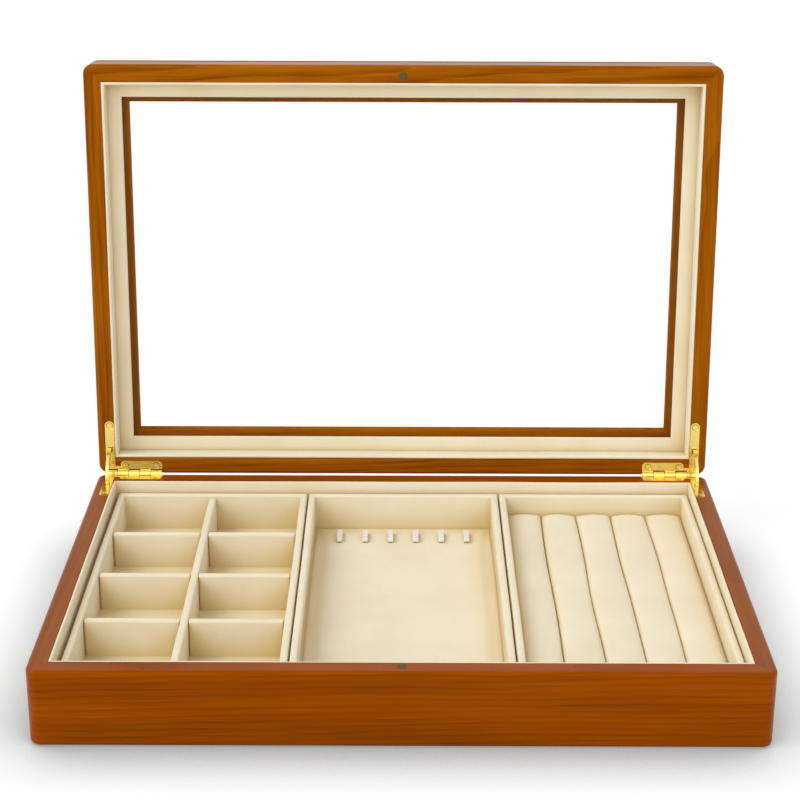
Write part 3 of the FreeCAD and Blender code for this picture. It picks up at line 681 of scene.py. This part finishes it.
finish_pad("necklace_pad_cushion", shape, "necklace_tray", "necklace_pad")


# Studio: white floor, pale surround, two wide soft lights and the camera of the photograph.
FLOOR_HALF_WIDTH = 8.0


def soft_light(name, towards, spread, power):
    """A wide light far off, so that the floor is lit alike everywhere."""
    light = bpy.data.lights.new(name, "SUN")
    light.angle = math.radians(spread)
    light.energy = power
    holder = bpy.data.objects.new(name, light)
    holder.rotation_euler = Vector(towards).to_track_quat("-Z", "Y").to_euler()
    bpy.context.scene.collection.objects.link(holder)


def looked_at(finish):
    """1 where the camera sees a surface, straight, through glass or mirrored; 0 for its light on
    other things."""
    ray = add(finish, "ShaderNodeLightPath").outputs
    eye = add(finish, "ShaderNodeMath", {0: ray["Is Camera Ray"], 1: ray["Is Transmission Ray"]},
              operation="MAXIMUM")
    eye = add(finish, "ShaderNodeMath", {0: eye.outputs[0], 1: ray["Is Glossy Ray"]},
              operation="MAXIMUM")
    return eye.outputs[0]


soft_light("left_window_light", towards=(0.72, 0.30, -0.85), spread=40, power=1.15)
soft_light("front_fill", towards=(0.0, 0.9, -0.42), spread=60, power=0.48)

shape = bmesh.new()
bmesh.ops.create_grid(shape, x_segments=1, y_segments=1, size=FLOOR_HALF_WIDTH)
floor_mesh = bpy.data.meshes.new("studio_floor")
shape.to_mesh(floor_mesh)
shape.free()
studio_floor = bpy.data.objects.new("studio_floor", floor_mesh)
bpy.context.scene.collection.objects.link(studio_floor)

# White paper, white to the eye, with a painted contact shadow: its colour and glow are darkened
# where the box stands on it and closes it in.
paper, paper_shader = new_finish("white_paper_sweep")
reach = add(paper, "ShaderNodeAmbientOcclusion", {"Distance": 45 * MM}, samples=8)
painted_contact_shadow = add(paper, "ShaderNodeMapRange",
           {"Value": reach.outputs["AO"], "From Min": 0.45, "From Max": 0.97,
            "To Min": 0.38, "To Max": 0.985})
eye = looked_at(paper)
lit_share = add(paper, "ShaderNodeMath", {0: eye, 1: -0.8, 2: 1.0}, operation="MULTIPLY_ADD")
lit = add(paper, "ShaderNodeMath", {0: painted_contact_shadow.outputs[0], 1: lit_share.outputs[0]},
          operation="MULTIPLY")
join(paper, lit.outputs[0], paper_shader, "Base Color")
# The glow keeps the paper white to the eye; the painted contact shadow darkens it as well.
glow = add(paper, "ShaderNodeMath", {0: painted_contact_shadow.outputs[0], 1: eye}, operation="MULTIPLY")
glow = add(paper, "ShaderNodeMath", {0: glow.outputs[0], 1: 0.835}, operation="MULTIPLY")
join(paper, glow.outputs[0], paper_shader, "Emission Strength")
paper_shader.inputs["Roughness"].default_value = 0.9
paper_shader.inputs["Specular IOR Level"].default_value = 0.0
paper_shader.inputs["Emission Color"].default_value = linear(WHITE)
floor_mesh.materials.append(paper)

world = bpy.data.worlds.new("pale_surround")
bpy.context.scene.world = world
world.use_nodes = True
level = add(world, "ShaderNodeMapRange",
            {"Value": looked_at(world), "To Min": 0.70, "To Max": 1.0})
sky = world.node_tree.nodes["Background"]
join(world, level.outputs[0], sky, "Strength")
sky.inputs["Color"].default_value = linear(WHITE)

camera_data = bpy.data.cameras.new("photo_camera")
camera_data.sensor_width = 36.0
camera_data.lens = 85.36
camera_data.shift_x = -0.003
camera = bpy.data.objects.new("photo_camera", camera_data)
camera.location = (0.0, -0.8925, 0.4690)
AIM = Vector((0.0, 0.0, 0.1305))
ROLL = math.radians(0.19)
level_view = (AIM - camera.location).to_track_quat("-Z", "Y").to_matrix()
camera.rotation_euler = (level_view @ Matrix.Rotation(ROLL, 3, "Z")).to_euler()
bpy.context.scene.collection.objects.link(camera)
bpy.context.scene.camera = camera
bpy.context.scene.view_settings.view_transform = "Standard"
